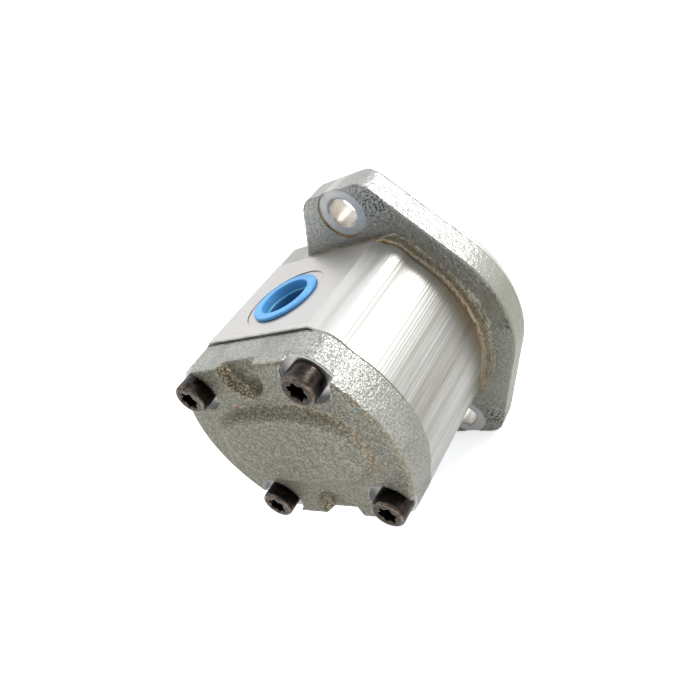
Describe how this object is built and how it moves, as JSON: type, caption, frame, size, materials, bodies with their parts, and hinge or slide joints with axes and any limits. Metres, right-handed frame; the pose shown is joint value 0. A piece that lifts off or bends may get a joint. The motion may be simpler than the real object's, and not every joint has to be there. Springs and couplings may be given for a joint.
{
  "type": "hydraulic gear pump",
  "caption": "External gear pump with a splined drive shaft, a two-bolt mounting flange, opposed threaded ports with push-in plugs and bolted end covers.",
  "frame": {"origin": "centre of the pilot in the flange's mounting plane, on the axis of the drive shaft", "axes": "+Y along the drive shaft, out of the mounting face; +Z out of the outlet port face, along the line of the two flange bolts; +X from the driven gear towards the drive gear"},
  "size_m": [0.1113, 0.1162, 0.1258],
  "materials": {
    "zinc_casting": "rough casting with bright zinc plating",
    "aluminium_body": "drawn extrusion with machined port faces",
    "gear_steel": "ground",
    "bearing_aluminium": "machined",
    "bush_bronze": "plain",
    "black_rubber": "moulded",
    "seal_plastic": "matte",
    "spring_steel": "bright",
    "black_steel": "black oxide",
    "blue_plastic": "moulded, slightly glossy"
  },
  "bodies": {
    "housing": {"front_cover": "zinc_casting", "pump_body": "aluminium_body", "rear_cover": "zinc_casting", "rear_bushing_block": "bearing_aluminium", "rear_drive_bush": "bush_bronze", "rear_driven_bush": "bush_bronze", "rear_axial_seal": "black_rubber", "rear_backup_ring": "seal_plastic", "rear_body_seal": "black_rubber", "front_bushing_block": "bearing_aluminium", "front_drive_bush": "bush_bronze", "front_driven_bush": "bush_bronze", "front_axial_seal": "black_rubber", "front_backup_ring": "seal_plastic", "front_body_seal": "black_rubber", "shaft_seal": "black_rubber", "shaft_seal_spring": "spring_steel", "seal_retaining_ring": "spring_steel", "cap_screw_upper_right": "black_steel", "cap_screw_upper_left": "black_steel", "cap_screw_lower_right": "black_steel", "cap_screw_lower_left": "black_steel", "rear_dowel_sleeve_upper_right": "spring_steel", "front_dowel_sleeve_upper_right": "spring_steel", "rear_dowel_sleeve_lower_left": "spring_steel", "front_dowel_sleeve_lower_left": "spring_steel", "outlet_port_plug": "blue_plastic", "inlet_port_plug": "blue_plastic"},
    "drive_gear": {"drive_gear_shaft": "gear_steel"},
    "driven_gear": {"driven_gear_shaft": "gear_steel"}
  },
  "joints": [
    {"name": "drive_shaft_spin", "type": "hinge", "parent": "housing", "child": "drive_gear", "pos_m": [0, 0, 0], "axis": [0, 1, 0], "continuous": true},
    {"name": "driven_gear_spin", "type": "hinge", "parent": "housing", "child": "driven_gear", "pos_m": [-0.035, 0, 0], "axis": [0, 1, 0], "continuous": true}
  ],
  "couplings": [
    {"joint": "driven_gear_spin", "follows": "drive_shaft_spin", "ratio": -1}
  ]
}
